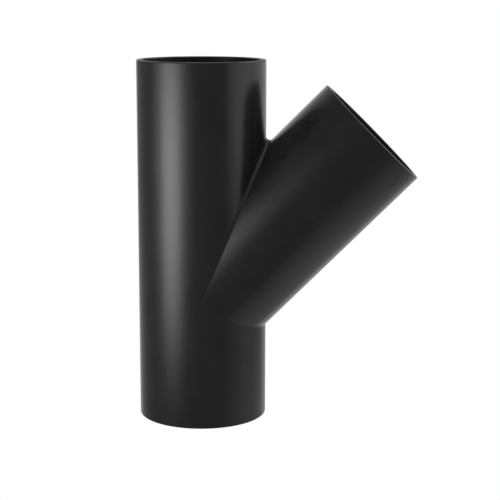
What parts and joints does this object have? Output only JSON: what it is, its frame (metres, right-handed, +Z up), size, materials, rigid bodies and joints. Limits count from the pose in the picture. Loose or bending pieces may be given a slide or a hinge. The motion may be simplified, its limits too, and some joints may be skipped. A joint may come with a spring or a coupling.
{
  "type": "lateral wye fitting",
  "caption": "Plain-ended drain pipe fitting moulded in one piece: a straight run with an equal branch leaving its side at an angle, bores joined and the joint line blended.",
  "frame": {"origin": "centre of the run's lower end, where the fitting stands", "axes": "+Z up the run towards its upper end; the branch leans towards +X; the XZ plane is the plane of symmetry"},
  "size_m": [0.1627, 0.075, 0.21],
  "materials": {
    "black_polyethylene": "satin as moulded, black right through, faintly uneven"
  },
  "bodies": {
    "root": {"wye_body": "black_polyethylene"}
  },
  "joints": []
}
